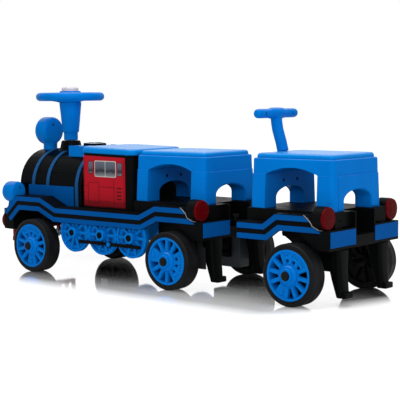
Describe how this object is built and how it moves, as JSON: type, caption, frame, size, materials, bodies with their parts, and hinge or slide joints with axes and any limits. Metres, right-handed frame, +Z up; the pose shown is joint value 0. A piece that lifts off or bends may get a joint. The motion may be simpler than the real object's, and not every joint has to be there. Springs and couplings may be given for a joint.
{
  "type": "ride-on train",
  "caption": "Battery ride-on toy train: steered locomotive with boiler, cab seat and stool seat, towing a hitched carriage with a stool seat and a T-shaped hand bar.",
  "frame": {"origin": "on the floor, under the middle of the train's bounding box", "axes": "+X forward along the train, +Y to the train's left, +Z up"},
  "size_m": [1.173, 0.396, 0.5241],
  "materials": {
    "blue_plastic": "glossy moulded plastic",
    "stripe_blue": "satin blue trim",
    "black_plastic": "satin moulded plastic",
    "grey_plastic": "fine-grained plastic",
    "red_panel": "glossy panel",
    "red_lens": "faceted reflector",
    "clear_lens": "clear ribbed lens",
    "steel": "bright plated steel",
    "silver_plastic": "silver plated plastic",
    "white_nylon": "plain nylon",
    "tyre": "matt tread"
  },
  "bodies": {
    "locomotive": {"loco_chassis": "black_plastic", "boiler_shell": "black_plastic", "smokebox_door": "black_plastic", "boiler_bands": "blue_plastic", "boiler_side_panels": "blue_plastic", "top_lamp_housing": "blue_plastic", "front_lamp_housings": "blue_plastic", "lamp_lenses": "clear_lens", "steering_collar": "black_plastic", "dash_block": "blue_plastic", "control_panel": "black_plastic", "cab_body": "black_plastic", "cab_side_panels": "red_panel", "seat_hinge_pin": "steel", "battery": "grey_plastic", "loco_stool": "blue_plastic", "loco_stool_lid": "blue_plastic", "side_wheel_panels": "blue_plastic", "coupling_rods": "black_plastic", "loco_trim": "stripe_blue", "loco_red_lenses": "red_lens", "pilot": "red_panel", "rear_axle": "steel", "gearbox_housing": "grey_plastic", "gearbox_cover": "grey_plastic", "motor": "steel", "loco_rear_legs": "black_plastic", "hitch_pin": "steel"},
    "steering": {"steering_wheel": "blue_plastic", "steering_column": "blue_plastic", "steering_shaft": "steel"},
    "horn": {"horn_cap": "silver_plastic"},
    "driver_seat": {"seat_lid": "blue_plastic"},
    "pedal": {"foot_pedal": "grey_plastic"},
    "left_steering_knuckle": {"left_knuckle": "steel"},
    "right_steering_knuckle": {"right_knuckle": "steel"},
    "track_rod": {"tie_rod": "steel"},
    "front_left_wheel": {"front_left_tyre": "tyre", "front_left_rim": "blue_plastic"},
    "front_right_wheel": {"front_right_tyre": "tyre", "front_right_rim": "blue_plastic"},
    "rear_left_wheel": {"rear_left_tyre": "tyre", "rear_left_rim": "blue_plastic"},
    "rear_right_wheel": {"rear_right_tyre": "tyre", "rear_right_rim": "blue_plastic", "drive_gear": "white_nylon"},
    "pinion": {"motor_pinion": "steel"},
    "carriage": {"carriage_chassis": "black_plastic", "carriage_stool": "blue_plastic", "carriage_stool_lid": "blue_plastic", "carriage_trim": "stripe_blue", "carriage_red_lenses": "red_lens", "t_handle": "blue_plastic", "drawbar": "black_plastic", "carriage_axle": "steel", "carriage_rear_legs": "black_plastic"},
    "carriage_left_wheel": {"carriage_left_tyre": "tyre", "carriage_left_rim": "blue_plastic"},
    "carriage_right_wheel": {"carriage_right_tyre": "tyre", "carriage_right_rim": "blue_plastic"}
  },
  "joints": [
    {"name": "steer", "type": "hinge", "parent": "locomotive", "child": "steering", "pos_m": [0.442, 0, 0.4], "axis": [0, 0, 1], "range_deg": [-20, 20]},
    {"name": "steer_left", "type": "hinge", "parent": "locomotive", "child": "left_steering_knuckle", "pos_m": [0.421, 0.1175, 0.1], "axis": [0, 0, 1], "range_deg": [-20, 20]},
    {"name": "steer_right", "type": "hinge", "parent": "locomotive", "child": "right_steering_knuckle", "pos_m": [0.421, -0.1175, 0.1], "axis": [0, 0, 1], "range_deg": [-20, 20]},
    {"name": "track_rod_pivot", "type": "hinge", "parent": "left_steering_knuckle", "child": "track_rod", "pos_m": [0.381, 0.1175, 0.114], "axis": [0, 0, 1], "range_deg": [-20, 20]},
    {"name": "horn_press", "type": "slide", "parent": "steering", "child": "horn", "axis": [0, 0, -1], "range_m": [0, 0.003], "stiffness_N_per_m": 1500, "springref_m": -0.002},
    {"name": "seat_hinge", "type": "hinge", "parent": "locomotive", "child": "driver_seat", "pos_m": [0.311, 0, 0.349], "axis": [0, 1, 0], "range_deg": [0, 80]},
    {"name": "pedal_press", "type": "hinge", "parent": "locomotive", "child": "pedal", "pos_m": [0.241, -0.128, 0.192], "axis": [0, 1, 0], "range_deg": [0, 8], "stiffness_Nm_per_rad": 0.5, "springref_deg": -11.46},
    {"name": "front_left_spin", "type": "hinge", "parent": "left_steering_knuckle", "child": "front_left_wheel", "pos_m": [0.421, 0.1605, 0.075], "axis": [0, 1, 0], "continuous": true},
    {"name": "front_right_spin", "type": "hinge", "parent": "right_steering_knuckle", "child": "front_right_wheel", "pos_m": [0.421, -0.1605, 0.075], "axis": [0, 1, 0], "continuous": true},
    {"name": "rear_left_spin", "type": "hinge", "parent": "locomotive", "child": "rear_left_wheel", "pos_m": [-0.095, 0.1605, 0.075], "axis": [0, 1, 0], "continuous": true},
    {"name": "rear_right_spin", "type": "hinge", "parent": "locomotive", "child": "rear_right_wheel", "pos_m": [-0.095, -0.1605, 0.075], "axis": [0, 1, 0], "continuous": true},
    {"name": "pinion_spin", "type": "hinge", "parent": "locomotive", "child": "pinion", "pos_m": [-0.06053, -0.09, 0.10393], "axis": [0, 1, 0], "continuous": true},
    {"name": "hitch_turn", "type": "hinge", "parent": "locomotive", "child": "carriage", "pos_m": [-0.175, 0, 0.166], "axis": [0, 0, 1], "range_deg": [-30, 30]},
    {"name": "carriage_left_spin", "type": "hinge", "parent": "carriage", "child": "carriage_left_wheel", "pos_m": [-0.477, 0.1605, 0.075], "axis": [0, 1, 0], "continuous": true},
    {"name": "carriage_right_spin", "type": "hinge", "parent": "carriage", "child": "carriage_right_wheel", "pos_m": [-0.477, -0.1605, 0.075], "axis": [0, 1, 0], "continuous": true}
  ],
  "couplings": [
    {"joint": "steer_left", "follows": "steer", "ratio": 1},
    {"joint": "steer_right", "follows": "steer", "ratio": 1},
    {"joint": "track_rod_pivot", "follows": "steer", "ratio": -1},
    {"joint": "pinion_spin", "follows": "rear_right_spin", "ratio": -4}
  ]
}
